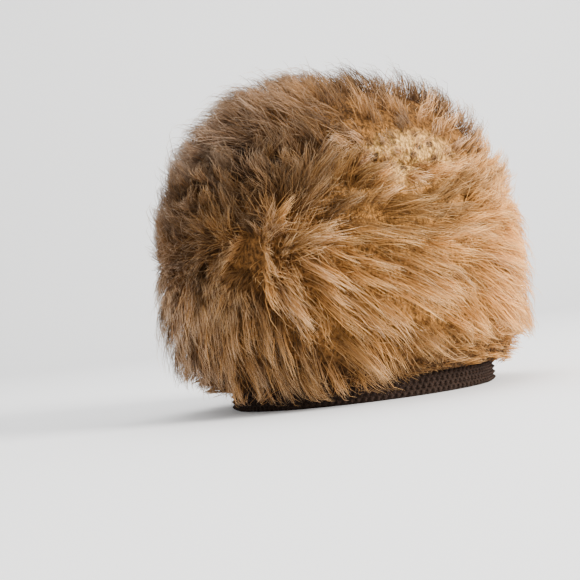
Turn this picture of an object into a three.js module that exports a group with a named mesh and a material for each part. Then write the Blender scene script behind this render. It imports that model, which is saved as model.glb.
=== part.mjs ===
// A round fur hat: two fur pelts sewn to a dome, with a knitted band round the head opening.
// Millimetres, +Z up. The hat stands on the flat lower edge of its band. +X is the front of the hat.
import * as THREE from "three";

// The knitted band, a folded strip that grips the head.
const BAND = { height: 28, wall: 5, footInset: 1, footWidth: 3, corner: 1.2 };

// The skin side of the crown at its widest, and its section from the rim to the top. lean shifts a level
// towards the front.
const CROWN = { halfLength: 109, halfWidth: 95, leather: 2 };
const CROWN_SECTION = [
  { girth: 0.95, height: 17, lean: 0 },
  { girth: 0.985, height: 45, lean: -3 },
  { girth: 1, height: 85, lean: -5 },
  { girth: 0.985, height: 125, lean: -5 },
  { girth: 0.91, height: 158, lean: -5 },
  { girth: 0.76, height: 185, lean: -5 },
  { girth: 0.54, height: 203, lean: -5 },
  { girth: 0.26, height: 211, lean: -5 },
  { girth: 0, height: 212, lean: -5 },
];

// The seam between the side pelt and the top pelt, as a share of the way from the rim to the top. It dips at
// the front.
const SEAM = { station: 0.6, dip: 0.07, halfGap: 0.0012 };
const GAP = 0.4;

// The depth of the fur in the hollows between its locks, at the rim and at the seam.
const UNDERFUR = { depth: 27, rimDepth: 9, seamDepth: 23 };

// All fur is deeper at the back of the hat by this share, and less deep at the front.
const BACK_FULLNESS = 0.03;

// Where the fur parts: hair lies away from each whorl, and hangs more the nearer it is to the rim.
const WHORLS = [
  { x: -65, y: -78, z: 128, pull: 1.0 },
  { x: -98, y: -48, z: 88, pull: 0.7 },
  { x: 62, y: -58, z: 176, pull: 0.9 },
  { x: -20, y: 92, z: 132, pull: 0.9 },
  { x: 70, y: 62, z: 120, pull: 0.6 },
];
const WHORL = { reach: 55, softness: 0.25, strength: 2 };
const HANG = { full: 30, none: 165, weight: 3 };

// Rows of locks on each pelt, from its lower edge up. rise is how far the tips stand off the skin, reach how
// far they lie along it, and every the number of steps round the hat from one tip to the next.
const SIDE_LOCKS = [
  { rise: 17, reach: 8, every: 2 },
  { rise: 32, reach: 17, every: 2 },
  { rise: 38, reach: 20, every: 2 },
  { rise: 41, reach: 20, every: 2 },
  { rise: 41, reach: 16, every: 2 },
  { rise: 39, reach: 4, every: 2 },
];
const TOP_LOCKS = [
  { rise: 36, reach: 4, every: 2 },
  { rise: 39, reach: 14, every: 4 },
  { rise: 39, reach: 18, every: 6 },
  { rise: 39, reach: 18, every: 12 },
];
const LOCK = { unevenness: 0.11, spread: 0.3 };
const SEEDS = { side: 1000, top: 5000, row: 100 };

const AROUND = { skin: 36, fur: 72 };

const meanHalf = (CROWN.halfLength + CROWN.halfWidth) / 2;
const section = new THREE.CatmullRomCurve3(
  CROWN_SECTION.map((row) => new THREE.Vector3(row.girth * meanHalf, row.height, row.lean)),
);
section.arcLengthDivisions = 800;

// A point on the skin. azimuth is measured round +Z from the front, and station runs from 0 at the rim to 1 at
// the top.
function skinPoint(azimuth, station) {
  const p = section.getPointAt(THREE.MathUtils.clamp(station, 0, 1));
  const girth = p.x / meanHalf;
  const x = girth * CROWN.halfLength * Math.cos(azimuth) + p.z;
  return new THREE.Vector3(x, girth * CROWN.halfWidth * Math.sin(azimuth), p.y);
}

function skinNormal(azimuth, station) {
  if (station > 0.999) return new THREE.Vector3(0, 0, 1);
  const step = 1e-3;
  const low = Math.max(0, station - step);
  const up = skinPoint(azimuth, Math.min(1, station + step)).sub(skinPoint(azimuth, low));
  const round = skinPoint(azimuth + step, station).sub(skinPoint(azimuth - step, station));
  return round.cross(up).normalize();
}

// A point at a depth above the skin, or inside it where the depth is negative.
function crownPoint(azimuth, station, depth) {
  return skinPoint(azimuth, station).addScaledVector(skinNormal(azimuth, station), depth);
}

const seamStation = (azimuth) => SEAM.station - SEAM.dip * Math.cos(azimuth);

// The two pelts. share runs over a pelt from its lower edge to its upper one, or to the top. base is the radius
// of the pelt's lower edge while it is a flat ring or disc, before it is laid on the crown.
const SIDE_PANEL = {
  base: 2,
  station: (azimuth, share) => share * (seamStation(azimuth) - SEAM.halfGap),
  hollow: (share) => ({ 0: UNDERFUR.rimDepth, 1: UNDERFUR.seamDepth })[share] ?? UNDERFUR.depth,
};
const TOP_PANEL = {
  base: 1,
  station: (azimuth, share) => {
    const from = seamStation(azimuth) + SEAM.halfGap;
    return from + share * (1 - from);
  },
  hollow: (share) => (share === 0 ? UNDERFUR.seamDepth : UNDERFUR.depth),
};

// Moves each vertex of a lathe to place(step, radius, height), so that what meets still meets.
function bend(lathe, around, place) {
  const position = lathe.getAttribute("position");
  for (let i = 0; i < position.count; i++) {
    const [x, height, z] = [position.getX(i), position.getY(i), position.getZ(i)];
    const turned = Math.round((Math.atan2(x, z) / (2 * Math.PI)) * around);
    const step = THREE.MathUtils.euclideanModulo(turned, around);
    const p = place(step, Number(Math.hypot(x, z).toFixed(5)), height);
    position.setXYZ(i, p.x, p.y, p.z);
  }
  return lathe;
}

const azimuthOf = (step, around) => (2 * Math.PI * step) / around;

// The closed section of a wall between two depths. outer gives the depth of its outside at each share of a
// panel.
function wallProfile(panel, steps, inner, outer) {
  const at = (share, depth) => new THREE.Vector2(panel.base - share, depth);
  const shares = Array.from({ length: steps + 1 }, (_, i) => i / steps);
  const inside = shares.map((share) => at(share, inner));
  const outside = shares.map((share) => at(share, outer(share)));
  const loop = [...inside.reverse(), ...outside];
  return panel.base > 1 ? [...loop, loop[0].clone()] : loop;
}

const fullness = (azimuth) => 1 - BACK_FULLNESS * Math.cos(azimuth);

// A pelt's skin: the wall between the skin surface and its leather side.
function peltGeometry(panel, rows) {
  const profile = wallProfile(panel, 2 * rows.length, -CROWN.leather, () => 0);
  return bend(new THREE.LatheGeometry(profile, AROUND.skin), AROUND.skin, (step, radius, depth) => {
    const azimuth = azimuthOf(step, AROUND.skin);
    return crownPoint(azimuth, panel.station(azimuth, panel.base - radius), depth);
  });
}

// The way in which hair lies at a point of the skin: a vector along the skin, at most 1 long.
function comb(point, normal) {
  const lie = new THREE.Vector3();
  for (const whorl of WHORLS) {
    const away = point.clone().sub(new THREE.Vector3(whorl.x, whorl.y, whorl.z));
    const distance = away.length();
    const fading = WHORL.softness + (distance / WHORL.reach) ** 2;
    lie.addScaledVector(away.normalize(), (WHORL.strength * whorl.pull) / fading);
  }
  const hang = 1 - THREE.MathUtils.smoothstep(point.z, HANG.full, HANG.none);
  lie.z -= HANG.weight * hang;
  lie.addScaledVector(normal, -lie.dot(normal));
  return lie.clampLength(0, 1);
}

// A random share between -1 and 1. A seed starts a new run of them.
const either = (seed) => 2 * THREE.MathUtils.seededRandom(seed) - 1;

// The place of a vertex of the fur's surface. Locks are pyramids of one lattice, with their tips drawn out
// and combed.
function furPoint(panel, rows, seed, step, share) {
  const azimuth = azimuthOf(step, AROUND.fur);
  const station = panel.station(azimuth, share);
  const ring = Math.round(share * 2 * rows.length);
  const low = fullness(azimuth) * panel.hollow(ring / (2 * rows.length));
  if (ring % 2 === 0) return crownPoint(azimuth, station, low);

  const index = (ring - 1) / 2;
  const row = rows[index];
  const turns = (step - (index % 2) * (row.every / 2)) / row.every;
  const nearest = Math.round(turns);
  const up = 1 - 2 * Math.abs(turns - nearest);
  const size = 1 + LOCK.unevenness * either(seed + SEEDS.row * index + nearest);
  const rise = fullness(azimuth) * row.rise * size;
  const point = crownPoint(azimuth, station, THREE.MathUtils.lerp(Math.min(low, rise), rise, up));
  const normal = skinNormal(azimuth, station);
  const lie = comb(point, normal);
  lie.addScaledVector(new THREE.Vector3().crossVectors(normal, lie), LOCK.spread * either());
  return point.addScaledVector(lie, row.reach * size * up);
}

function furGeometry(panel, rows, seed) {
  const profile = wallProfile(panel, 2 * rows.length, GAP, () => UNDERFUR.depth);
  return bend(new THREE.LatheGeometry(profile, AROUND.fur), AROUND.fur, (step, radius, depth) => {
    const share = panel.base - radius;
    if (depth > UNDERFUR.depth / 2) return furPoint(panel, rows, seed, step, share);
    const azimuth = azimuthOf(step, AROUND.fur);
    return crownPoint(azimuth, panel.station(azimuth, share), depth);
  });
}

// A point of the band, inset from the outline that the side pelt's rim leaves it.
function bandPoint(azimuth, inset, height) {
  const p = skinPoint(azimuth, 0).setZ(height);
  const outward = skinNormal(azimuth, 0).setZ(0).normalize();
  return p.addScaledVector(outward, -(CROWN.leather + GAP + inset));
}

// The band as a lathe whose profile holds inset and height, bent onto its outline.
function bandGeometry() {
  const inner = BAND.wall;
  const profile = [
    [BAND.footInset, 0],
    [0, BAND.corner],
    [0, BAND.height - BAND.corner],
    [BAND.corner, BAND.height],
    [inner - BAND.corner, BAND.height],
    [inner, BAND.height - BAND.corner],
    [inner, BAND.corner],
    [BAND.footInset + BAND.footWidth, 0],
    [BAND.footInset, 0],
  ];
  const points = profile.map(([inset, height]) => new THREE.Vector2(CROWN.halfWidth - inset, height));
  return bend(new THREE.LatheGeometry(points, AROUND.skin), AROUND.skin, (step, radius, height) =>
    bandPoint(azimuthOf(step, AROUND.skin), CROWN.halfWidth - radius, height),
  );
}

const knit = new THREE.MeshStandardMaterial({ color: 0x2b1d18, roughness: 0.95, metalness: 0 });
const leather = new THREE.MeshStandardMaterial({ color: 0xb59a78, roughness: 0.85, metalness: 0 });
const sideFurMaterial = new THREE.MeshStandardMaterial({ color: 0x96693c, roughness: 0.9, metalness: 0 });
const topFurMaterial = new THREE.MeshStandardMaterial({ color: 0xa37a52, roughness: 0.9, metalness: 0 });

function named(name, geometry, material) {
  const mesh = new THREE.Mesh(geometry, material);
  mesh.name = name;
  return mesh;
}

const hat = new THREE.Group();
hat.add(named("knit_band", bandGeometry(), knit));
hat.add(named("side_pelt", peltGeometry(SIDE_PANEL, SIDE_LOCKS), leather));
hat.add(named("top_pelt", peltGeometry(TOP_PANEL, TOP_LOCKS), leather));
hat.add(named("side_fur", furGeometry(SIDE_PANEL, SIDE_LOCKS, SEEDS.side), sideFurMaterial));
hat.add(named("top_fur", furGeometry(TOP_PANEL, TOP_LOCKS, SEEDS.top), topFurMaterial));

// The whole hat is centred over the origin.
const middle = new THREE.Box3().setFromObject(hat).getCenter(new THREE.Vector3());
hat.position.set(-middle.x, -middle.y, 0);

export default hat;
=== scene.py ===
# A round fur hat, dressed for its portrait: long guard hair over soft underfur, the leather side of its
# pelts, and a dark knitted band. Everything is in metres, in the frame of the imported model.
import math

import bpy
import numpy as np
from mathutils import Matrix, Vector


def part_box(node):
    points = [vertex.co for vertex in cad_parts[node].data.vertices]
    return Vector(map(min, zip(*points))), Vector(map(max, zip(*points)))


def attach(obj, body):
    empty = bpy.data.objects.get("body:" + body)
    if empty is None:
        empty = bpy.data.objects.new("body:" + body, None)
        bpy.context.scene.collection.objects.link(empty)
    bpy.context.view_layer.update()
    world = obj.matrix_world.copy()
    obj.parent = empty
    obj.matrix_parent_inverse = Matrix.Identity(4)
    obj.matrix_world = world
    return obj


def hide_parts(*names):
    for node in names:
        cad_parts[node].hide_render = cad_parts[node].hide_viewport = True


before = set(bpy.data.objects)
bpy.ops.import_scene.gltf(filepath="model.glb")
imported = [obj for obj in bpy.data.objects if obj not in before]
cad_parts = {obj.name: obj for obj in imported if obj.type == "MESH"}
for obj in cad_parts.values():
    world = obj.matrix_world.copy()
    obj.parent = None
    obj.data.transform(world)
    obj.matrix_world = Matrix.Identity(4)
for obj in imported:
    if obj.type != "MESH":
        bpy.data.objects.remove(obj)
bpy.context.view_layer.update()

# The camera looks at the near side of the hat, from a little above its rim. The hat sits tipped back in the
# photograph, so the camera is rolled by the same angle. The scale is that of the rim's own distance.
PHOTO_CENTRE = (290, 290)
RIM_IN_PHOTO = (364, 394)
PHOTO_WIDTH = 580
PIXEL = 0.00078
CAMERA_DISTANCE = 1.1
CAMERA_HEIGHT = 0.08
CAMERA_ROLL = math.radians(7)
SENSOR = 0.036
MILLIMETRES = 1000

band_low, band_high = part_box("knit_band")
rim_centre = Vector(((band_low.x + band_high.x) / 2, (band_low.y + band_high.y) / 2, 0))
picture_right = Vector((math.cos(CAMERA_ROLL), 0, -math.sin(CAMERA_ROLL)))
picture_up = Vector((math.sin(CAMERA_ROLL), 0, math.cos(CAMERA_ROLL)))
aim = rim_centre + picture_right * ((PHOTO_CENTRE[0] - RIM_IN_PHOTO[0]) * PIXEL)
aim += picture_up * ((RIM_IN_PHOTO[1] - PHOTO_CENTRE[1]) * PIXEL)
stand = rim_centre + Vector((0, -CAMERA_DISTANCE, CAMERA_HEIGHT))

lens = bpy.data.cameras.new("camera")
lens.sensor_width = SENSOR * MILLIMETRES
lens.lens = SENSOR * MILLIMETRES * CAMERA_DISTANCE / (PHOTO_WIDTH * PIXEL)
camera = bpy.data.objects.new("camera", lens)
back = (stand - aim).normalized()
across = picture_up.cross(back).normalized()
turn = Matrix((across, back.cross(across), back)).transposed()
camera.matrix_world = Matrix.Translation(stand) @ turn.to_4x4()
bpy.context.scene.collection.objects.link(camera)
bpy.context.scene.camera = camera

# The leather side of the two pelts, tanned skin with a short suede nap. It shows inside the hat, where the
# pelts are sewn edge to edge, and from below as a thin raw edge round the band. Both pelts keep their packed
# solids.


class Wire:
    """A value or colour on its way through a material's nodes, so that shader maths reads as plain sums."""

    def __init__(self, finish, socket):
        self.finish = finish
        self.socket = socket

    def maths(self, operation, *values):
        kind = "Math" if self.socket.type == "VALUE" else "VectorMath"
        return self.finish.node(kind, {"operation": operation}, dict(enumerate(values)))

    def __add__(self, other):
        return self.maths("ADD", self, other)

    def __sub__(self, other):
        return self.maths("SUBTRACT", self, other)

    def __mul__(self, other):
        return self.maths("MULTIPLY", self, other)

    def __rsub__(self, other):
        return self.maths("SUBTRACT", other, self)

    __radd__ = __add__
    __rmul__ = __mul__

    def scaled(self, amount):
        """A colour or vector made brighter or darker by a number or a value."""
        return self.finish.node("VectorMath", {"operation": "SCALE"}, {0: self, "Scale": amount})

    def mixed(self, other, share):
        """This colour, turned into another by a share."""
        return self.finish.node("Mix", {"data_type": "RGBA"}, {"Factor": share, "A": self, "B": other})

    def between(self, low, high):
        """0 where this value is at low, 1 where it is at high, and smooth in between."""
        settings = {"interpolation_type": "SMOOTHSTEP", "clamp": True}
        return self.finish.node("MapRange", settings, {"Value": self, "From Min": low, "From Max": high})


class Finish:
    """A material. Every node in it is made by node()."""

    def __init__(self, name):
        self.material = bpy.data.materials.new(name)
        self.material.use_nodes = True
        self.tree = self.material.node_tree
        self.tree.nodes.clear()

    def node(self, kind, settings, sockets, output=0):
        made = self.tree.nodes.new("ShaderNode" + kind)
        for name, setting in settings.items():
            if name == "stops":
                ramp = made.color_ramp.elements
                while len(ramp) < len(setting):
                    ramp.new(0.5)
                for stop, (place, colour) in zip(ramp, setting):
                    stop.position = place
                    stop.color = (*colour, 1)
            else:
                setattr(made, name, setting)
        for name, value in sockets.items():
            if kind == "Mix" and name in ("A", "B"):
                socket = next(s for s in made.inputs if s.name == name and s.type == "RGBA")
            elif kind == "Mix":
                socket = made.inputs[0]
            else:
                socket = made.inputs[name]
            if isinstance(value, Wire):
                self.tree.links.new(value.socket, socket)
            elif isinstance(value, tuple) and socket.type == "RGBA":
                socket.default_value = (*value, 1)
            else:
                socket.default_value = value
        if kind == "Mix":
            return Wire(self, next(s for s in made.outputs if s.type == "RGBA"))
        return Wire(self, made.outputs[output]) if made.outputs else None

    def place(self):
        """Where a point of the surface is in the hat's frame."""
        return self.node("TexCoord", {}, {}, "Object")

    def attribute(self, name):
        return self.node("Attribute", {"attribute_name": name}, {}, "Fac")

    def noise(self, scale, detail, stretch=(1, 1, 1)):
        spread = self.node("Mapping", {}, {"Vector": self.place(), "Scale": stretch})
        return self.node("TexNoise", {}, {"Vector": spread, "Scale": scale, "Detail": detail}, "Fac")

    def ramp(self, value, stops):
        return self.node("ValToRGB", {"stops": stops}, {"Fac": value})

    def surface(self, colour, roughness, relief=None, height=None, **shine):
        sockets = {"Base Color": colour, "Roughness": roughness, **shine}
        if relief is not None:
            sockets["Normal"] = self.node("Bump", {}, {"Height": relief, "Distance": height})
        shader = self.node("BsdfPrincipled", {}, sockets)
        self.node("OutputMaterial", {}, {"Surface": shader})
        return self.material


SUEDE_COLOURS = [(0.3, (0.36, 0.25, 0.15)), (0.7, (0.56, 0.43, 0.29))]
SUEDE_BLOTCHES = 45
SUEDE_NAP = 900
SUEDE_GRAIN = 220
LEAST_NAP_SHADE = 0.8
NAP_SHADE = 0.4
NAP_RELIEF = 0.5
SUEDE_ROUGHNESS = 0.82
GRAIN_ROUGHNESS = 0.14
SUEDE_RELIEF = 0.0006
SUEDE_SHEEN = {"Sheen Weight": 0.35, "Sheen Roughness": 0.6}

suede = Finish("pelt_suede")
blotches = suede.noise(SUEDE_BLOTCHES, detail=4.0)
nap = suede.noise(SUEDE_NAP, detail=2.0)
grain = suede.noise(SUEDE_GRAIN, detail=5.0)
hide_colour = suede.ramp(blotches, SUEDE_COLOURS).scaled(LEAST_NAP_SHADE + NAP_SHADE * nap)
roughness = SUEDE_ROUGHNESS + GRAIN_ROUGHNESS * grain
relief = grain + NAP_RELIEF * nap
suede_material = suede.surface(hide_colour, roughness, relief, SUEDE_RELIEF, **SUEDE_SHEEN)
for pelt in ("side_pelt", "top_pelt"):
    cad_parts[pelt].data.materials.clear()
    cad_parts[pelt].data.materials.append(suede_material)

# The underfur is the dense soft wool at the foot of the guard hair, golden where the hair parts. Each pelt
# has its own coat, a closed quilt of tufts that follows the skin and thins out at the rim and along the seam.
# Shade is painted into the wool: near black along the seam towards the back, and dark low down near the rim.
CROWN_HALF_LENGTH = 0.109
CROWN_HALF_WIDTH = 0.095
CROWN_SECTION = [
    (0.95, 0.017, 0.0),
    (0.985, 0.045, -0.003),
    (1.0, 0.085, -0.005),
    (0.985, 0.125, -0.005),
    (0.91, 0.158, -0.005),
    (0.76, 0.185, -0.005),
    (0.54, 0.203, -0.005),
    (0.26, 0.211, -0.005),
    (0.0, 0.212, -0.005),
]
SECTION_STEPS = 60
SEAM_STATION = 0.6
SEAM_DIP = 0.07
SEAM_GAP = 0.002
TOP_STATION = 0.998
NORMAL_STEP = 2e-3
NORMAL_TOP = 0.992
WOOL_FOOT = 0.0006
WOOL_DEPTH = 0.021
WOOL_RIM_DEPTH = 0.006
WOOL_SEAM_DEPTH = 0.013
WOOL_RIM_SLOPE = 0.12
WOOL_SEAM_SLOPE = {"side": 0.04, "top": 0.05}
QUILT_DEPTH = 0.0010
QUILT_ROUND = (31, 9)
QUILT_UP = (23, 7)
SEAM_SHADE_SHARE = 0.18
SEAM_SHADE_FADE = 0.6
MAP_CELL = 0.98
LEAST_LENGTH = 1e-9


def smooth_curve(points, steps):
    """A Catmull-Rom curve through the rows of points, with steps points to each stretch."""
    rows = np.asarray(points, float)
    rows = np.vstack([2 * rows[0] - rows[1], rows, 2 * rows[-1] - rows[-2]])
    t = np.linspace(0, 1, steps, endpoint=False)[:, None]
    stretches = []
    for a, b, c, d in zip(rows, rows[1:], rows[2:], rows[3:]):
        bend = (2 * a - 5 * b + 4 * c - d) * t**2 + (3 * b - a - 3 * c + d) * t**3
        stretches.append(b + 0.5 * ((c - a) * t + bend))
    return np.vstack([*stretches, rows[-2:-1]])


section = smooth_curve(CROWN_SECTION, SECTION_STEPS)
mean_half = (CROWN_HALF_LENGTH + CROWN_HALF_WIDTH) / 2
section_steps = np.linalg.norm(np.diff(section * [mean_half, 1, 1], axis=0), axis=1)
section_length = section_steps.sum()
section_station = np.concatenate([[0], np.cumsum(section_steps)]) / section_length


def skin(azimuth, station):
    """Points of the skin. azimuth runs round from the front, station from 0 at the rim to 1 at the top."""
    girth, height, lean = (np.interp(station, section_station, column) for column in section.T)
    x = girth * CROWN_HALF_LENGTH * np.cos(azimuth) + lean + rim_centre.x
    y = girth * CROWN_HALF_WIDTH * np.sin(azimuth) + rim_centre.y
    return np.stack([x, y, height], axis=-1)


def unit(vectors):
    return vectors / np.maximum(np.linalg.norm(vectors, axis=-1, keepdims=True), LEAST_LENGTH)


def skin_normal(azimuth, station):
    station = np.minimum(station, NORMAL_TOP)
    up = skin(azimuth, station + NORMAL_STEP) - skin(azimuth, np.maximum(station - NORMAL_STEP, 0))
    round_hat = skin(azimuth + NORMAL_STEP, station) - skin(azimuth - NORMAL_STEP, station)
    return unit(np.cross(round_hat, up))


def seam_at(azimuth):
    return SEAM_STATION - SEAM_DIP * np.cos(azimuth)


def side_station(azimuth, share):
    return share * (seam_at(azimuth) - SEAM_GAP)


def top_station(azimuth, share):
    return seam_at(azimuth) + SEAM_GAP + share * (TOP_STATION - seam_at(azimuth))


def mesh_object(name, points, triangles, attributes, patch, material):
    """A mesh of triangles, with float attributes on its points and a map of its own for baking."""
    mesh = bpy.data.meshes.new(name)
    mesh.vertices.add(len(points))
    mesh.vertices.foreach_set("co", np.ascontiguousarray(points, np.float32).ravel())
    mesh.loops.add(triangles.size)
    mesh.loops.foreach_set("vertex_index", np.ascontiguousarray(triangles, np.int32).ravel())
    mesh.polygons.add(len(triangles))
    mesh.polygons.foreach_set("loop_start", np.arange(0, triangles.size, 3, dtype=np.int32))
    mesh.update(calc_edges=True)
    for key, values in attributes.items():
        attribute = mesh.attributes.new(key, "FLOAT", "POINT")
        attribute.data.foreach_set("value", values.astype(np.float32).ravel())
    layer = mesh.uv_layers.new(name="OFBake")
    layer.uv.foreach_set("vector", np.ascontiguousarray(patch, np.float32).ravel())
    mesh.shade_smooth()
    mesh.materials.append(material)
    made = bpy.data.objects.new(name, mesh)
    bpy.context.scene.collection.objects.link(made)
    return made


def pile(pelt, share):
    """How far the underfur stands off the skin: full in the middle of a pelt, and thin at its edges."""
    slope = WOOL_SEAM_SLOPE[pelt]
    if pelt == "top":
        return WOOL_SEAM_DEPTH + (WOOL_DEPTH - WOOL_SEAM_DEPTH) * (1 - np.exp(-share / slope))
    depth = WOOL_RIM_DEPTH + (WOOL_DEPTH - WOOL_RIM_DEPTH) * (1 - np.exp(-share / WOOL_RIM_SLOPE))
    return WOOL_SEAM_DEPTH + (depth - WOOL_SEAM_DEPTH) * (1 - np.exp(-(1 - share) / slope))


def closed_coat(pelt, station_of, around, steps, material):
    """The closed coat of underfur on one pelt: a ring, or a cap whose upper edge meets at the top."""
    azimuth = np.linspace(0, 2 * math.pi, around, endpoint=False)
    share = np.linspace(0, 1, steps + 1)
    azimuths, shares = np.meshgrid(azimuth, share)
    station = station_of(azimuths, shares)
    surface, normal = skin(azimuths, station), skin_normal(azimuths, station)
    depth = pile(pelt, shares)
    quilt_round = np.sin(QUILT_ROUND[0] * azimuths + QUILT_ROUND[1] * shares)
    quilt_up = np.sin(QUILT_UP[0] * shares - QUILT_UP[1] * azimuths)
    tufted = QUILT_DEPTH * quilt_round * quilt_up
    outside = surface + normal * (depth + tufted * (1 - shares))[..., None]
    inside = surface + normal * WOOL_FOOT
    from_seam = shares if pelt == "top" else 1 - shares
    # Painted shade: along the seam, strongest towards the back, the wool is marked to turn near black.
    behind = np.clip(0.5 - np.cos(azimuths) / SEAM_SHADE_FADE, 0, 1)
    sunken = np.exp(-((from_seam / SEAM_SHADE_SHARE) ** 2)) * behind
    loop = np.concatenate([outside, inside[::-1]])
    rings = len(loop)
    index = np.arange(rings * around).reshape(rings, around)
    a, b = index, np.roll(index, -1, axis=1)
    c, d = np.roll(b, -1, axis=0), np.roll(index, -1, axis=0)
    triangles = np.concatenate([np.stack([a, b, c], -1), np.stack([a, c, d], -1)], axis=1).reshape(-1, 3)
    u, v = np.arange(around) / around, np.arange(rings) / rings
    corner = np.stack(np.meshgrid(u, v), -1)
    across_cell, up_cell = np.array([MAP_CELL / around, 0]), np.array([0, MAP_CELL / rings])
    lower = np.stack([corner, corner + across_cell, corner + across_cell + up_cell], -2)
    upper = np.stack([corner, corner + across_cell + up_cell, corner + up_cell], -2)
    patch = np.concatenate([lower, upper], axis=1).reshape(-1, 2)
    shade = {"sunken": np.concatenate([sunken, sunken[::-1]])}
    return mesh_object("underfur_" + pelt, loop.reshape(-1, 3), triangles, shade, patch, material)


# Near black, the colour of the painted shade in the wool along the seam and low down near the rim.
WOOL_PAINTED_SHADE = (0.014, 0.008, 0.005)
WOOL_COLOURS = [(0.0, (0.130, 0.056, 0.015)), (1.0, (0.28, 0.125, 0.032))]
PATCH_COLOURS = [(0.26, (0.085, 0.050, 0.025)), (0.40, (0.48, 0.27, 0.085))]
WOOL_TUFTS = 130
LEAST_TUFT_SHADE = 0.4
TUFT_SHADE = 1.2
WOOL_FIBRES = 480
WOOL_RELIEF = 0.004
WOOL_ROUGHNESS = 0.9
WOOL_SHINE = {"Specular IOR Level": 0.1}
FIBRE_STRETCH = (1, 1, 0.6)
FIBRE_RANGE = (0.32, 0.68)
LEAST_FIBRE_SHADE = 0.4
FIBRE_SHADE = 1.1
GOLD_FRONT = (-0.05, 0.06)
GOLD_UNEVENNESS = 0.4
BROWN_TOP = (0.145, 0.180)
BROWN_TOP_SHARE = 0.75
RIM_SHADE_HEIGHTS = (0.020, 0.050)
RIM_SHADE_SHARE = 0.8
PALE_PATCH = (0.044, -0.068, 0.168)
PALE_PATCH_SIZE = (0.043, 0.040, 0.024)
PATCH_FADE = (0.7, 1.2)
PATCH_SPOTS = 95.0

wool = Finish("underfur_wool")
tufts = wool.noise(WOOL_TUFTS, detail=4.0)
fibres = wool.noise(WOOL_FIBRES, detail=5.0, stretch=FIBRE_STRETCH)
lengthways = wool.node("SeparateXYZ", {}, {"Vector": wool.place()})
upright = wool.node("SeparateXYZ", {}, {"Vector": wool.place()}, "Z")
gold_share = lengthways.between(*GOLD_FRONT) + GOLD_UNEVENNESS * tufts - GOLD_UNEVENNESS / 2
gold_share = gold_share * (1 - BROWN_TOP_SHARE * upright.between(*BROWN_TOP))
wool_colour = wool.ramp(gold_share, WOOL_COLOURS)
from_patch = wool.place() - tuple(Vector(PALE_PATCH) + rim_centre)
from_patch = wool.node("VectorMath", {"operation": "DIVIDE"}, {0: from_patch, 1: PALE_PATCH_SIZE})
beyond_patch = wool.node("VectorMath", {"operation": "LENGTH"}, {0: from_patch}, "Value")
spots = wool.node("TexVoronoi", {}, {"Vector": wool.place(), "Scale": PATCH_SPOTS}, "Distance")
patch_colour = wool.ramp(spots, PATCH_COLOURS)
wool_colour = patch_colour.mixed(wool_colour, beyond_patch.between(*PATCH_FADE))
# Painted shade: the wool turns near black along the seam towards the back.
wool_colour = wool_colour.mixed(WOOL_PAINTED_SHADE, wool.attribute("sunken"))
# Painted shade: the wool darkens low down near the rim, under the hair above the band.
rim_shade = RIM_SHADE_SHARE - RIM_SHADE_SHARE * upright.between(*RIM_SHADE_HEIGHTS)
wool_colour = wool_colour.mixed(WOOL_PAINTED_SHADE, rim_shade)
wool_colour = wool_colour.scaled(LEAST_FIBRE_SHADE + FIBRE_SHADE * fibres.between(*FIBRE_RANGE))
wool_colour = wool_colour.scaled(LEAST_TUFT_SHADE + TUFT_SHADE * tufts)
wool_material = wool.surface(wool_colour, WOOL_ROUGHNESS, fibres + tufts, WOOL_RELIEF, **WOOL_SHINE)

COATS = {
    "side": (side_station, 150, 44, "golden_brown_fur"),
    "top": (top_station, 120, 30, "beige_brown_fur"),
}
for pelt, (station_of, around, steps, finish_slot) in COATS.items():
    coat = closed_coat(pelt, station_of, around, steps, wool_material)
    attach(coat, "root")
    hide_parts(pelt + "_fur")

# The guard hair is the long outer fur. It grows in locks, whose hairs start apart and lie together at their
# tips. It parts at whorls, sweeps away from them round the hat, and hangs the more the nearer it grows to the
# rim. Dark roots turn to gold, and to pale beige at the tips.
WHORLS = {
    "side": [(-0.048, -0.100, 0.108, 1.0), (-0.112, 0.010, 0.104, 0.3), (-0.010, 0.100, 0.118, 0.9)],
    "top": [(0.046, -0.066, 0.160, 0.8)],
}
WHORL_CORE = 0.030
WHORL_TWIST = 0.35
WHORL_STRENGTH = 0.045
RUFFLE = 0.22
RUFFLE_WAVES = 95
RUFFLE_BEND = 2.2
RUFFLE_BEND_WAVES = 60
SWEEP = 0.42
SWEEP_FRONT = (-0.030, 0.050)
HANG = 1.2
HANG_LEAN = 0.45
HANG_HEIGHT = (0.030, 0.150)
CLIMB = 0.45
CLIMB_FRONT = (0.070, 0.095)
CLIMB_HEIGHT = (0.115, 0.160)
TOP_FLOW = 0.22
TOP_FLOW_GAIN = 0.5
TOP_FRONT = (0.0, 0.06)
TOP_GATHER = 12.0
MOST_GATHER = 0.5


def smoothstep(values, low, high):
    t = np.clip((values - low) / (high - low), 0, 1)
    return t * t * (3 - 2 * t)


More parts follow.
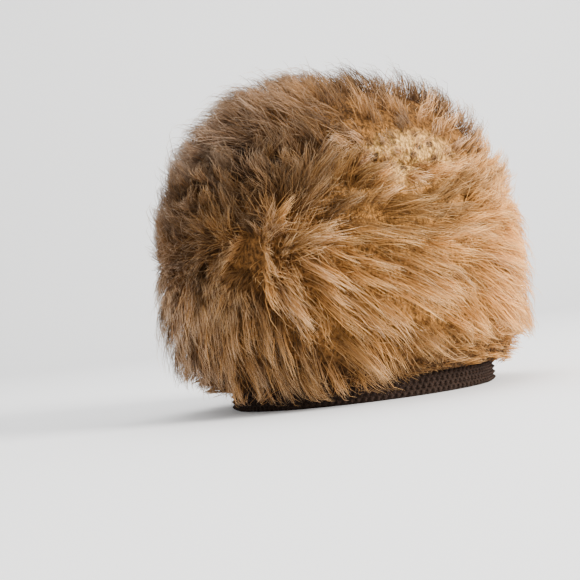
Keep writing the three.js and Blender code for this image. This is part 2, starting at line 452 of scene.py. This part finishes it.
def comb(points, normals, pelt):
    """The way in which hair lies: vectors along the skin, at most 1 long, and short in a whorl's core."""
    centred = points - np.array(rim_centre)
    lie = np.zeros_like(points)
    for x, y, z, pull in WHORLS[pelt]:
        away = centred - np.array([x, y, z])
        spread = WHORL_CORE**2 + (away**2).sum(-1, keepdims=True)
        twisted = away + WHORL_TWIST * np.cross(normals, away) * WHORL_CORE**2 / spread
        lie += WHORL_STRENGTH * pull * twisted / spread
    bend = RUFFLE_BEND * np.sin(centred[..., [2, 0, 1]] * RUFFLE_BEND_WAVES)
    lie += RUFFLE * np.sin(centred[..., [1, 2, 0]] * RUFFLE_WAVES + bend)
    round_hat = unit(np.cross([0.0, 0.0, 1.0], centred))
    hang = HANG * (1 - smoothstep(points[..., 2:], *HANG_HEIGHT))
    if pelt == "side":
        lie += SWEEP * round_hat * smoothstep(centred[..., :1], *SWEEP_FRONT)
        facing = smoothstep(centred[..., 0], *CLIMB_FRONT)
        lie[..., 2] += CLIMB * facing * smoothstep(points[..., 2], *CLIMB_HEIGHT)
    else:
        lie[..., 0] -= TOP_FLOW * (1 + TOP_FLOW_GAIN * smoothstep(centred[..., 0], *TOP_FRONT))
        lie[..., 1] -= np.clip(TOP_GATHER * centred[..., 1], -MOST_GATHER, MOST_GATHER)
    lie += hang * (HANG_LEAN * round_hat - np.array([0.0, 0.0, 1.0]))
    lie -= normals * (lie * normals).sum(-1, keepdims=True)
    return lie / np.maximum(np.linalg.norm(lie, axis=-1, keepdims=True), 1)


PROBES = 60
LEAST_SITES = 3
SITE_JITTER = 0.45
ROW_JITTER = 0.5
SITE_SHARES = (0.004, 0.996)


def sites(station_of, spacing, random):
    """Where hair grows: rows of even spacing over one pelt, each site moved a little at random."""
    azimuths, shares = [], []
    probe = np.linspace(0, 2 * math.pi, PROBES, endpoint=False)
    length = section_length * (station_of(0.5 * math.pi, 1.0) - station_of(0.5 * math.pi, 0.0))
    rows = round(length / spacing)
    for row in range(rows):
        ring = skin(probe, station_of(probe, np.full(PROBES, (row + 0.5) / rows)))
        girth = np.linalg.norm(ring - np.roll(ring, 1, axis=0), axis=1).sum()
        count = max(LEAST_SITES, round(girth / spacing))
        step = np.arange(count) + 0.5 * (row % 2) + random.uniform(-SITE_JITTER, SITE_JITTER, count)
        height = (row + 0.5 + random.uniform(-ROW_JITTER, ROW_JITTER, count)) / rows
        azimuths.append(2 * math.pi * step / count)
        shares.append(np.clip(height, *SITE_SHARES))
    return np.concatenate(azimuths), np.concatenate(shares)


ALONG_HAIR = np.array([0.0, 0.25, 0.5, 0.77, 1.0])
HAIR_TAPER = np.array([1.0, 0.9, 0.55])
HAIR_SIDES = 3
HAIR_POINTS = len(HAIR_TAPER) * HAIR_SIDES + 2
OFF_STRAIGHT = np.array([0.003, 0.007, 0.011])
CELL_START = 0.06
CELL_SIZE = 0.88


def hair_mesh(name, spines, widths, attributes, material):
    """Hairs of three sides, each closed and pointed at its root and its tip, along spines of five points."""
    count = len(spines)
    along = unit(spines[:, 2:] - spines[:, :-2])
    side = unit(np.cross(along, spines[:, :1] - spines[:, -1:] + OFF_STRAIGHT))
    front = np.cross(along, side)
    angle = 2 * math.pi * np.arange(HAIR_SIDES) / HAIR_SIDES
    around = side[:, :, None] * np.cos(angle)[:, None] + front[:, :, None] * np.sin(angle)[:, None]
    radius = (widths[:, None] * HAIR_TAPER / 2)[..., None, None]
    rings = (spines[:, 1:-1, None] + radius * around).reshape(count, -1, 3)
    points = np.concatenate([spines[:, :1], rings, spines[:, -1:]], axis=1)
    faces, cells = [], []
    for s in range(HAIR_SIDES):
        left, right = s / HAIR_SIDES, (s + 1) / HAIR_SIDES
        for k in range(len(ALONG_HAIR) - 1):
            ring = HAIR_SIDES * (k - 1) + 1
            a, b = ring + s, ring + (s + 1) % HAIR_SIDES
            low, high = ALONG_HAIR[k], ALONG_HAIR[k + 1]
            if k == 0:
                faces.append((0, b + HAIR_SIDES, a + HAIR_SIDES))
                cells.append((((left + right) / 2, low), (right, high), (left, high)))
            elif k == len(ALONG_HAIR) - 2:
                faces.append((a, b, HAIR_POINTS - 1))
                cells.append(((left, low), (right, low), ((left + right) / 2, high)))
            else:
                faces += [(a, b, b + HAIR_SIDES), (a, b + HAIR_SIDES, a + HAIR_SIDES)]
                cells.append(((left, low), (right, low), (right, high)))
                cells.append(((left, low), (right, high), (left, high)))
    triangles = (np.array(faces)[None] + HAIR_POINTS * np.arange(count)[:, None, None]).reshape(-1, 3)
    grid = math.ceil(math.sqrt(count))
    corner = np.stack([np.arange(count) % grid, np.arange(count) // grid], -1)
    patch = (corner[:, None, None] + CELL_START + CELL_SIZE * np.array(cells)[None]) / grid
    along_points = np.concatenate([[0], np.repeat(ALONG_HAIR[1:-1], HAIR_SIDES), [1]])
    spread = {"along": np.tile(along_points, count)}
    spread |= {key: np.repeat(values, HAIR_POINTS) for key, values in attributes.items()}
    return mesh_object(name, points.reshape(-1, 3), triangles, spread, patch, material)


HAIR_DARK = [
    (0.0, (0.012, 0.006, 0.004)),
    (0.4, (0.050, 0.023, 0.010)),
    (0.75, (0.150, 0.078, 0.035)),
    (1.0, (0.52, 0.37, 0.25)),
]
HAIR_GOLD = [
    (0.0, (0.10, 0.042, 0.012)),
    (0.3, (0.38, 0.165, 0.040)),
    (0.7, (0.66, 0.31, 0.085)),
    (1.0, (0.92, 0.56, 0.24)),
]
HAIR_BEIGE = [
    (0.0, (0.022, 0.012, 0.008)),
    (0.3, (0.15, 0.082, 0.044)),
    (0.65, (0.40, 0.260, 0.165)),
    (1.0, (0.72, 0.54, 0.39)),
]

HAIR_ROUGHNESS = 0.6
HAIR_SHINE = {"Specular IOR Level": 0.12}
LEAST_TONE = 0.35
TONE_GAIN = 1.1

guard = Finish("guard_hair")
along_hair = guard.attribute("along")
dark_coat = guard.ramp(along_hair, HAIR_DARK)
gold_coat = guard.ramp(along_hair, HAIR_GOLD)
beige_coat = guard.ramp(along_hair, HAIR_BEIGE)
hair_colour = dark_coat.mixed(gold_coat, guard.attribute("warmth"))
hair_colour = hair_colour.mixed(beige_coat, guard.attribute("paleness"))
hair_colour = hair_colour.scaled(LEAST_TONE + TONE_GAIN * guard.attribute("tone"))
hair_material = guard.surface(hair_colour, HAIR_ROUGHNESS, **HAIR_SHINE)

RISE = {
    "side": ([0.0, 0.08, 0.25, 0.5, 1.0], [0.015, 0.022, 0.032, 0.037, 0.038]),
    "top": ([0.0, 0.2, 1.0], [0.037, 0.042, 0.045]),
}
REACH = {
    "side": ([0.0, 0.1, 0.3, 0.75, 0.9, 1.0], [0.026, 0.034, 0.046, 0.044, 0.030, 0.022]),
    "top": ([0.0, 1.0], [0.040, 0.040]),
}
BACK_RISE = 0.005
BACK_RISE_FROM = (0.4, 1.0)
HEM = ([-1.0, -0.85, -0.5, 0.0, 0.3, 0.55, 1.0], [0.026, 0.016, 0.006, 0.007, 0.027, 0.036, 0.033])
HEM_UNEVENNESS = 0.0025
LEAST_ROOM = 0.006
LEAST_SLOPE = 0.25
HANGING_SLOPE = -0.2
TUFT_SPACING = 0.023
LOCK_SPACING = 0.0092
TUFT_TURN = 0.22
LOCK_TURN = 0.18
UNRULY = 0.5
LEAST_LIE = 0.6
LOOK_AHEAD = 0.03
TUFT_SIZE = 0.12
LOCK_SIZE = 0.10
LOCK_SIZES = (0.65, 1.35)
SIZE_IN_RISE = 0.3
GROWN_IN_RISE = 0.5
PATCH_LENGTH = 0.25
PATCH_EDGE = (0.5, 1.1)
THICKET = (-0.060, -0.076, 0.113)
THICKET_RADIUS = 0.022


def lay_locks(pelt, station_of, random):
    """The locks of one pelt: where each grows, how it lies, and how far it rises and reaches."""
    azimuth, share = sites(station_of, TUFT_SPACING, random)
    tuft_base = skin(azimuth, station_of(azimuth, share))
    azimuth, share = sites(station_of, LOCK_SPACING, random)
    count = len(azimuth)
    station = station_of(azimuth, share)
    base, normal = skin(azimuth, station), skin_normal(azimuth, station)
    tuft = np.linalg.norm(base[:, None] - tuft_base[None], axis=-1).argmin(axis=1)
    tuft_size, tuft_turn, tuft_tone = random.normal(0, 1, (3, len(tuft_base)))[:, tuft]
    lie = comb(base, normal, pelt)
    calm = 1 - np.linalg.norm(lie, axis=-1)
    side = np.cross(normal, unit(lie))
    turn = TUFT_TURN * tuft_turn + random.normal(0, LOCK_TURN, count)
    lie = lie + side * turn[:, None]
    unruly = random.normal(0, UNRULY, (count, 3)) * calm[:, None]
    lie = lie + unruly - normal * (unruly * normal).sum(-1, keepdims=True)
    lie = lie * np.maximum(1, LEAST_LIE / np.linalg.norm(lie, axis=-1, keepdims=True))
    place = base - np.array(rim_centre)
    in_patch = np.linalg.norm((place - np.array(PALE_PATCH)) / np.array(PALE_PATCH_SIZE), axis=-1)
    grown = PATCH_LENGTH + (1 - PATCH_LENGTH) * smoothstep(in_patch, *PATCH_EDGE)
    size = np.clip(1 + TUFT_SIZE * tuft_size + random.normal(0, LOCK_SIZE, count), *LOCK_SIZES)
    rise = np.interp(share, *RISE[pelt]) + BACK_RISE * smoothstep(-np.cos(azimuth), *BACK_RISE_FROM)
    rise = rise * (1 - SIZE_IN_RISE + SIZE_IN_RISE * size) * (1 - GROWN_IN_RISE + GROWN_IN_RISE * grown)
    reach = np.interp(share, *REACH[pelt]) * size * grown
    hem = np.interp(np.cos(azimuth), *HEM) + random.normal(0, HEM_UNEVENNESS, count)
    room = np.maximum(base[:, 2] - hem, LEAST_ROOM) / np.maximum(-lie[:, 2], LEAST_SLOPE)
    reach = np.where(lie[:, 2] < HANGING_SLOPE, np.minimum(reach, room), reach)
    return {
        "azimuth": azimuth,
        "base": base,
        "place": place,
        "normal": normal,
        "side": side,
        "lie": lie,
        "onward": comb(base + LOOK_AHEAD * lie, normal, pelt),
        "to_tuft": tuft_base[tuft] - base,
        "calm": calm,
        "thicket": np.exp(-((np.linalg.norm(place - np.array(THICKET), axis=-1) / THICKET_RADIUS) ** 2)),
        "in_patch": in_patch,
        "rise": rise,
        "reach": reach,
        "hem": hem,
        "pile": pile(pelt, share),
        "tuft_tone": tuft_tone,
    }


CALM_CROWDING = 4.0
THICKET_CROWDING = 4.0
PATCH_CROWDING = 1.4
PATCH_CROWD_EDGE = (0.8, 1.4)
NEAR_CROWDING = 0.35
NEAR_SIDE = (0.03, 0.08)
LOOSE_SHARE = 0.2
LOOSE_LENGTHS = (0.75, 1.15)
LOOSE_GATHER = 0.1
LOOSE_STRAY = 0.0038
LOCK_LENGTHS = (0.55, 1.04)
LOCK_GATHER = (0.5, 0.88)
LOCK_STRAY = 0.0010
LOCK_WAVE = 0.0024
LOCK_WAVES = 4.6
HAIR_WAVE = 0.0011
HAIR_WAVES = 7
WAVE_STARTS = (0, 7)
SHORT_SHARE = 0.10
SHORT_IF_CALM = 0.6
SHORT_IF_THICKET = 0.4
SHORT_LENGTH = 0.5
SHORT_ASIDE = 0.55
SPIKY_FRONT = (0.055, 0.085)
SPIKY_HEIGHT = (0.105, 0.135)
SPIKY_GATHER = 0.95
SPIKY_STRAY_LOSS = 0.6
TUFT_PULL = 0.52
SPIKY_PULL_LOSS = 0.3
PULL_CURVE = 1.3
ROOT_SPREAD = 0.40
ROOT_DEPTHS = (0.5, 0.9)
SHORT_STAND = 0.72
SHORT_STAND_GAIN = 0.3
LONG_STAND = 0.35
LONG_STAND_GAIN = 0.65
RISE_CURVE = 1.9
TRAVEL_CURVE = 1.2
GATHER_CURVE = 0.8
BODY_RADIUS = 0.14
BEND = 0.6
HEM_GIVE = 0.001
HEM_PUSH = 0.65
HEM_PUSH_ALONG = (0.0, 0.3)
FLOOR_NEAR = 0.012
FLOOR_GAP = 0.002
FLOOR_CUSHION = 0.010
HAIR_WIDTH = 0.00040
HAIR_WIDTHS = (0.7, 1.3)


def shape_hairs(locks, hairs, random):
    """The lock, the spine of five points and the width of every hair of one pelt."""
    count = len(locks["azimuth"])
    near = smoothstep(-locks["place"][:, 1], *NEAR_SIDE)
    bare = 1 - smoothstep(locks["in_patch"], *PATCH_CROWD_EDGE)
    crowding = 1 + CALM_CROWDING * locks["calm"] + THICKET_CROWDING * locks["thicket"]
    crowding = crowding + PATCH_CROWDING * bare
    crowding = crowding * (1 + NEAR_CROWDING * near)
    lock = np.sort(random.choice(count, hairs, p=crowding / crowding.sum()))
    base, normal, side, lie = (locks[key][lock][:, None] for key in ("base", "normal", "side", "lie"))

    loose = random.random((hairs, 1)) < LOOSE_SHARE
    spread = random.normal(0, ROOT_SPREAD, (hairs, 2)) * LOCK_SPACING
    offset = (unit(lie[:, 0]) * spread[:, :1] + side[:, 0] * spread[:, 1:])[:, None]
    loose_length = random.uniform(*LOOSE_LENGTHS, (hairs, 1))
    length = np.where(loose, loose_length, random.uniform(*LOCK_LENGTHS, (hairs, 1)))
    short_share = SHORT_SHARE + SHORT_IF_CALM * locks["calm"] + SHORT_IF_THICKET * locks["thicket"]
    short = random.random((hairs, 1)) < short_share[lock][:, None]
    length = np.where(short, SHORT_LENGTH * length, length)
    gather = np.where(loose, LOOSE_GATHER, random.uniform(*LOCK_GATHER, (hairs, 1)))[..., None]
    spiky = smoothstep(locks["place"][:, 0], *SPIKY_FRONT) * smoothstep(locks["place"][:, 2], *SPIKY_HEIGHT)
    spiky = spiky[lock][:, None, None]
    gather = gather + spiky * (SPIKY_GATHER - gather)

    t = ALONG_HAIR[None]
    root_depth = random.uniform(*ROOT_DEPTHS, (hairs, 1)) * locks["pile"][lock][:, None]
    long_standing = LONG_STAND + LONG_STAND_GAIN * length
    standing = np.where(short, SHORT_STAND + SHORT_STAND_GAIN * length, long_standing)
    risen = 1 - (1 - t) ** RISE_CURVE
    depth = root_depth + (locks["rise"][lock][:, None] * standing - root_depth) * risen
    travel = locks["reach"][lock][:, None] * length * t**TRAVEL_CURVE
    depth -= travel**2 / (2 * BODY_RADIUS)
    turned = lie * (1 - BEND * t[..., None]) + locks["onward"][lock][:, None] * BEND * t[..., None]
    aside = np.where(short, random.normal(0, SHORT_ASIDE, (hairs, 1)), 0)
    turned = turned + aside[..., None] * side

    lock_wave = random.normal(0, LOCK_WAVE, count)[lock][:, None]
    lock_start = random.uniform(*WAVE_STARTS, count)[lock][:, None]
    hair_wave = random.normal(0, HAIR_WAVE, (hairs, 1))
    hair_start = random.uniform(*WAVE_STARTS, (hairs, 1))
    wave = lock_wave * np.sin(lock_start + LOCK_WAVES * t)
    wave = wave + hair_wave * np.sin(hair_start + HAIR_WAVES * t)
    curl = (wave * t)[..., None] * side
    pull = TUFT_PULL - SPIKY_PULL_LOSS * spiky
    curl = curl + pull * locks["to_tuft"][lock][:, None] * (t**PULL_CURVE)[..., None]
    stray_size = np.where(loose, LOOSE_STRAY, LOCK_STRAY)[..., None]
    stray = random.normal(0, 1, (hairs, 1, 3)) * stray_size * t[..., None]
    stray = stray * (1 - SPIKY_STRAY_LOSS * spiky)

    spines = base + offset * (1 - gather * t[..., None] ** GATHER_CURVE)
    spines = spines + normal * depth[..., None] + turned * travel[..., None] + curl + stray
    lowest = np.minimum(locks["base"][:, 2] - HEM_GIVE, locks["hem"])[lock][:, None]
    spines[..., 2] += HEM_PUSH * np.maximum(lowest - spines[..., 2], 0) * smoothstep(t, *HEM_PUSH_ALONG)
    height = spines[..., 2]
    cushioned = FLOOR_GAP + FLOOR_CUSHION * np.exp((height - FLOOR_NEAR) / FLOOR_CUSHION)
    spines[..., 2] = np.where(height < FLOOR_NEAR, cushioned, height)
    return lock, spines, HAIR_WIDTH * random.uniform(*HAIR_WIDTHS, hairs)


GOLDEN_FRONT = (-0.100, 0.055)
GOLDEN_HEIGHT = (0.14, 0.19)
GOLDEN_TOP_LOSS = 0.35
LEAST_WARMTH = 0.25
LOCK_WARMTH = 0.10
HAIR_WARMTH = 0.08
LEAST_PALENESS = 0.04
PALE_TOP = 0.40
PALE_TOP_HEIGHT = (0.13, 0.185)
PALE_BACK = 0.35
PALE_BACK_FROM = (0.075, 0.11)
PALE_CROWN = 0.30
PALE_CROWN_BACK = (0.02, 0.07)
PALE_CROWN_HEIGHT = (0.145, 0.18)
LOCK_PALENESS = 0.12
HAIR_PALENESS = 0.10
MIDDLE_TONE = 0.55
TUFT_TONE = 0.1
LOCK_TONE = 0.15
HAIR_TONE = 0.13
STREAKED_SHARE = 0.2
STREAKED_BELOW = -0.9
STREAK_LIGHT = -0.1
SPOTTED_SHARE = 0.35
SPOTTED_EDGE = 1.1
SPOT_TONE = -0.45
PATCH_TONE = 0.05
# Painted shade and painted light on the coat, partly its own darker patches: a place, the width of the
# shade and its strength.
PAINTED_SHADE_AND_LIGHT = [
    (-0.066, -0.062, 0.154, 0.032, -0.95),
    (-0.062, -0.085, 0.120, 0.036, -0.20),
    (-0.020, -0.082, 0.148, 0.026, -0.35),
    (-0.045, -0.090, 0.100, 0.020, 0.25),
    (-0.030, -0.088, 0.028, 0.028, -0.30),
    (-0.100, -0.050, 0.060, 0.045, 0.40),
    (0.055, -0.078, 0.143, 0.030, -0.50),
    (0.018, -0.078, 0.152, 0.034, -0.35),
    (0.045, -0.020, 0.190, 0.048, -0.60),
    (0.055, -0.045, 0.182, 0.026, -0.30),
    (-0.005, -0.058, 0.170, 0.030, -0.30),
    (-0.085, -0.055, 0.112, 0.026, 0.15),
    (-0.070, -0.075, 0.085, 0.032, 0.15),
    (0.030, -0.088, 0.022, 0.038, -0.75),
    (0.105, -0.040, 0.085, 0.045, 0.20),
    (0.020, 0.090, 0.150, 0.040, -0.40),
]


def colour_hairs(locks, lock, random):
    """How golden, how pale and how light every hair is, with painted shade and painted light in its tone."""
    count, hairs = len(locks["azimuth"]), len(lock)
    x, _, z = locks["place"].T
    golden = smoothstep(x, *GOLDEN_FRONT) * (1 - GOLDEN_TOP_LOSS * smoothstep(z, *GOLDEN_HEIGHT))
    warm = LEAST_WARMTH + (1 - LEAST_WARMTH) * golden
    pale = LEAST_PALENESS + PALE_TOP * smoothstep(z, *PALE_TOP_HEIGHT)
    pale = pale + PALE_BACK * smoothstep(-x, *PALE_BACK_FROM)
    pale = pale + PALE_CROWN * smoothstep(-x, *PALE_CROWN_BACK) * smoothstep(z, *PALE_CROWN_HEIGHT)
    warm = warm[lock] + random.normal(0, LOCK_WARMTH, count)[lock] + random.normal(0, HAIR_WARMTH, hairs)
    pale = pale[lock] + random.normal(0, LOCK_PALENESS, count)[lock] + random.normal(0, HAIR_PALENESS, hairs)
    streaked = random.random(count) < STREAKED_SHARE
    shade = TUFT_TONE * locks["tuft_tone"] + random.normal(0, LOCK_TONE, count)
    # Painted shade and painted light: each row darkens or lightens the locks round its place.
    for *centre, width, strength in PAINTED_SHADE_AND_LIGHT:
        distance = np.linalg.norm(locks["place"] - np.array(centre), axis=-1)
        struck = np.where(streaked & (strength < STREAKED_BELOW), STREAK_LIGHT, 1)
        shade += strength * np.exp(-((distance / width) ** 2)) * struck
    spotted = (locks["in_patch"] < 1) & (random.random(count) < SPOTTED_SHARE)
    shade = np.where(locks["in_patch"] < SPOTTED_EDGE, np.where(spotted, SPOT_TONE, PATCH_TONE), shade)
    tone = np.clip(MIDDLE_TONE + shade[lock] + random.normal(0, HAIR_TONE, hairs), 0, 1)
    return {"warmth": np.clip(warm, 0, 1), "paleness": np.clip(pale, 0, 1), "tone": tone}


HAIR_SEED = 2024
FIRST_PART_FROM = -0.25 * math.pi
PELT_HAIR = {
    "side": (side_station, 36000, ("front", "far", "back", "near"), "golden_brown_fur"),
    "top": (top_station, 11000, ("front", "back"), "beige_brown_fur"),
}
for pelt, (station_of, hairs, parts, finish_slot) in PELT_HAIR.items():
    random = np.random.default_rng(HAIR_SEED)
    locks = lay_locks(pelt, station_of, random)
    lock, spines, widths = shape_hairs(locks, hairs, random)
    colouring = colour_hairs(locks, lock, random)
    turns = (locks["azimuth"][lock] - FIRST_PART_FROM) % (2 * math.pi)
    part_of = (turns // (2 * math.pi / len(parts))).astype(int)
    for number, part in enumerate(parts):
        mine = part_of == number
        own = {key: values[mine] for key, values in colouring.items()}
        hair = hair_mesh(f"guard_hair_{pelt}_{part}", spines[mine], widths[mine], own, hair_material)
        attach(hair, "root")

# The knitted band grips the head under the fur. It is knitted round from thick dark-brown wool yarn, with the
# same stitches on its outside and its inside, and its upper edge lies inside the foot of the side pelt.
YARN_COLOURS = [(0.3, (0.006, 0.003, 0.002)), (0.7, (0.036, 0.020, 0.013))]
YARN_PLIES = 1400
YARN_FUZZ = 300
YARN_ROUGHNESS = 0.9
YARN_RELIEF = 0.0005
YARN_SHINE = {"Specular IOR Level": 0.15}

wool_yarn = Finish("band_yarn")
plies = wool_yarn.noise(YARN_PLIES, detail=3.0)
fuzz = wool_yarn.noise(YARN_FUZZ, detail=4.0)
yarn_colour = wool_yarn.ramp(plies, YARN_COLOURS)
yarn_material = wool_yarn.surface(yarn_colour, YARN_ROUGHNESS, plies + fuzz, YARN_RELIEF, **YARN_SHINE)
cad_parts["knit_band"].data.materials.clear()
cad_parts["knit_band"].data.materials.append(yarn_material)

BAND_HALF_LENGTH = (band_high.x - band_low.x) / 2
BAND_HALF_WIDTH = (band_high.y - band_low.y) / 2
BAND_WALL = 0.005
COURSES = 6
STITCHES = 132
STITCH_STEPS = 8
STITCH_DIP = 0.0004
YARN_SIDES = 4
YARN_RADIUS = 0.0011
STITCH_SWELL = 0.0007
COURSE = 0.0040
FIRST_COURSE = 0.0024
STRIP_START = 0.05
STRIP_SIZE = 0.9


def yarn_course(inset, number):
    """The line of one course of stitches, and how thick the yarn is along it. Stitches sit like bricks."""
    step = np.arange(STITCHES * STITCH_STEPS) / STITCH_STEPS
    turn = 2 * math.pi * (step + 0.5 * (number % 2))
    azimuth = 2 * math.pi * step / STITCHES
    x = (BAND_HALF_LENGTH - inset) * np.cos(azimuth) + rim_centre.x
    y = (BAND_HALF_WIDTH - inset) * np.sin(azimuth) + rim_centre.y
    height = FIRST_COURSE + COURSE * number + STITCH_DIP * np.sin(turn)
    return np.stack([x, y, height], -1), YARN_RADIUS + STITCH_SWELL * np.cos(turn)


def yarn_tubes(courses, sides):
    """Closed tubes of yarn along courses of stitches, with a map that gives each course its own strip."""
    points, triangles, patches = [], [], []
    for number, (line, radius) in enumerate(courses):
        along = unit(np.roll(line, -1, axis=0) - np.roll(line, 1, axis=0))
        outward = unit(line - np.array([rim_centre.x, rim_centre.y, line[:, 2].mean()]))
        side = unit(np.cross(along, outward))
        front = np.cross(side, along)
        angle = 2 * math.pi * np.arange(sides) / sides
        around = side[:, None] * np.cos(angle)[:, None] + front[:, None] * np.sin(angle)[:, None]
        ring = line[:, None] + radius[:, None, None] * around
        index = np.arange(len(line) * sides).reshape(-1, sides) + number * len(line) * sides
        a, b = index, np.roll(index, -1, axis=1)
        c, d = np.roll(b, -1, axis=0), np.roll(a, -1, axis=0)
        points.append(ring.reshape(-1, 3))
        triangles.append(np.stack([a, b, c, a, c, d], -1).reshape(-1, 3))
        u, v = np.meshgrid(np.arange(sides) / sides, np.arange(len(line)) / len(line))
        low = np.stack([v, (number + STRIP_START + STRIP_SIZE * u) / len(courses)], -1)
        wide = np.array([MAP_CELL / len(line), 0])
        tall = np.array([0, STRIP_SIZE / sides / len(courses)])
        square = np.stack([low, low + tall, low + tall + wide, low, low + tall + wide, low + wide], -2)
        patches.append(square.reshape(-1, 2))
    return np.vstack(points), np.vstack(triangles), np.vstack(patches)


courses = [yarn_course(inset, number) for inset in (0.0, BAND_WALL) for number in range(COURSES)]
points, triangles, patch = yarn_tubes(courses, YARN_SIDES)
yarn = mesh_object("band_yarn", points, triangles, {}, patch, yarn_material)
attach(yarn, "root")

# The studio is a seamless sheet of pale paper, which runs up behind the hat, under soft lights. The main
# light stands to the right, as in the photograph, and the left side stays darker.
PAPER = (0.93, 0.93, 0.93)
PAPER_HALF_WIDTH = 3.0
PAPER_FRONT = -2.5
PAPER_BACK = 1.6
PAPER_TOP = 3.0
PAPER_BEND = 0.8
BEND_ROWS = 13
PAPER_ROUGHNESS = 0.9

paper = Finish("studio_paper")
paper_material = paper.surface(PAPER, PAPER_ROUGHNESS)
angles = np.linspace(0, math.pi / 2, BEND_ROWS)
bend = [(PAPER_BACK + PAPER_BEND * math.sin(a), PAPER_BEND * (1 - math.cos(a))) for a in angles]
profile = [(PAPER_FRONT, 0.0), *bend, (PAPER_BACK + PAPER_BEND, PAPER_TOP)]
sheet = bpy.data.meshes.new("studio_paper")
corners = [(x, y, z) for y, z in profile for x in (-PAPER_HALF_WIDTH, PAPER_HALF_WIDTH)]
strips = [(2 * i, 2 * i + 1, 2 * i + 3, 2 * i + 2) for i in range(len(profile) - 1)]
sheet.from_pydata(corners, [], strips)
sheet.shade_smooth()
sheet.materials.append(paper_material)
backdrop = bpy.data.objects.new("studio_paper", sheet)
bpy.context.scene.collection.objects.link(backdrop)

LIT_POINT = Vector((0, 0, 0.12))
LIGHTS = {
    "main_light": ((1.8, -1.0, 0.75), 1.0, 148, (1.0, 0.98, 0.95)),
    "fill_light": ((-1.6, -1.4, 0.9), 1.6, 8, (0.95, 0.97, 1.0)),
    "top_light": ((0.0, 0.6, 2.0), 1.4, 34, (1.0, 1.0, 1.0)),
}
for name, (place, size, power, colour) in LIGHTS.items():
    lamp = bpy.data.lights.new(name, "AREA")
    lamp.size = size
    lamp.energy = power
    lamp.color = colour
    box = bpy.data.objects.new(name, lamp)
    box.location = place
    box.rotation_euler = (Vector(place) - LIT_POINT).to_track_quat("Z", "Y").to_euler()
    bpy.context.scene.collection.objects.link(box)

AIR = (1.0, 1.0, 1.0, 1)
AIR_LIGHT = 1.0

world = bpy.data.worlds.new("studio_air")
world.use_nodes = True
world.node_tree.nodes["Background"].inputs["Color"].default_value = AIR
world.node_tree.nodes["Background"].inputs["Strength"].default_value = AIR_LIGHT
bpy.context.scene.world = world
